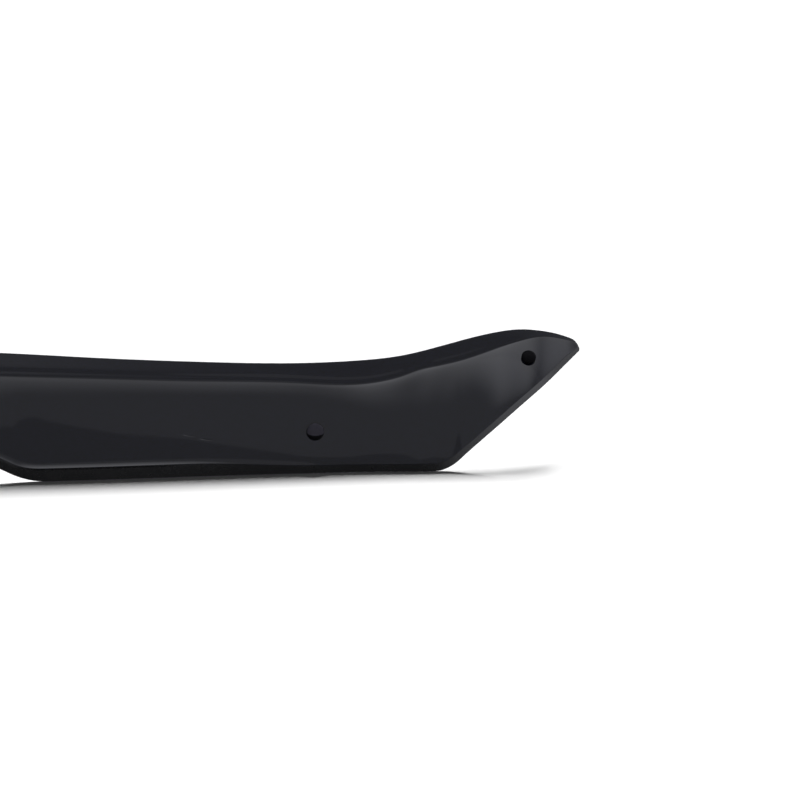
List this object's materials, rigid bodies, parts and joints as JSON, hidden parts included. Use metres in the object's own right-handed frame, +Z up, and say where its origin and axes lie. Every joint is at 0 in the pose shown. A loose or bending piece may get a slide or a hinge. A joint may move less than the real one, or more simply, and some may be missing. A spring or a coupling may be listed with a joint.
{
  "type": "hood bug deflector",
  "caption": "Gloss black hood bug deflector: a curved formed shield with an upright lip, a notched lower skirt and slanted swept ends, with push rivets and rubber spacer washers.",
  "frame": {"origin": "on the centre plane, midway between the front and the back of the box, level with the lower edge", "axes": "+X is the right-hand side of someone facing the shield, the face looks towards -Y, +Y runs back over the hood, +Z up"},
  "size_m": [1.452, 0.136, 0.1185],
  "materials": {
    "gloss_black": "polished gloss black, faint scuffs low on the face",
    "black_plastic": "moulded black, low sheen",
    "rubber": "dull black rubber"
  },
  "bodies": {
    "root": {"shield": "gloss_black", "face_rivet_left": "black_plastic", "face_rivet_right": "black_plastic", "end_rivet_left": "black_plastic", "end_rivet_right": "black_plastic", "face_washer_left": "rubber", "face_washer_right": "rubber", "end_washer_left": "rubber", "end_washer_right": "rubber"}
  },
  "joints": []
}
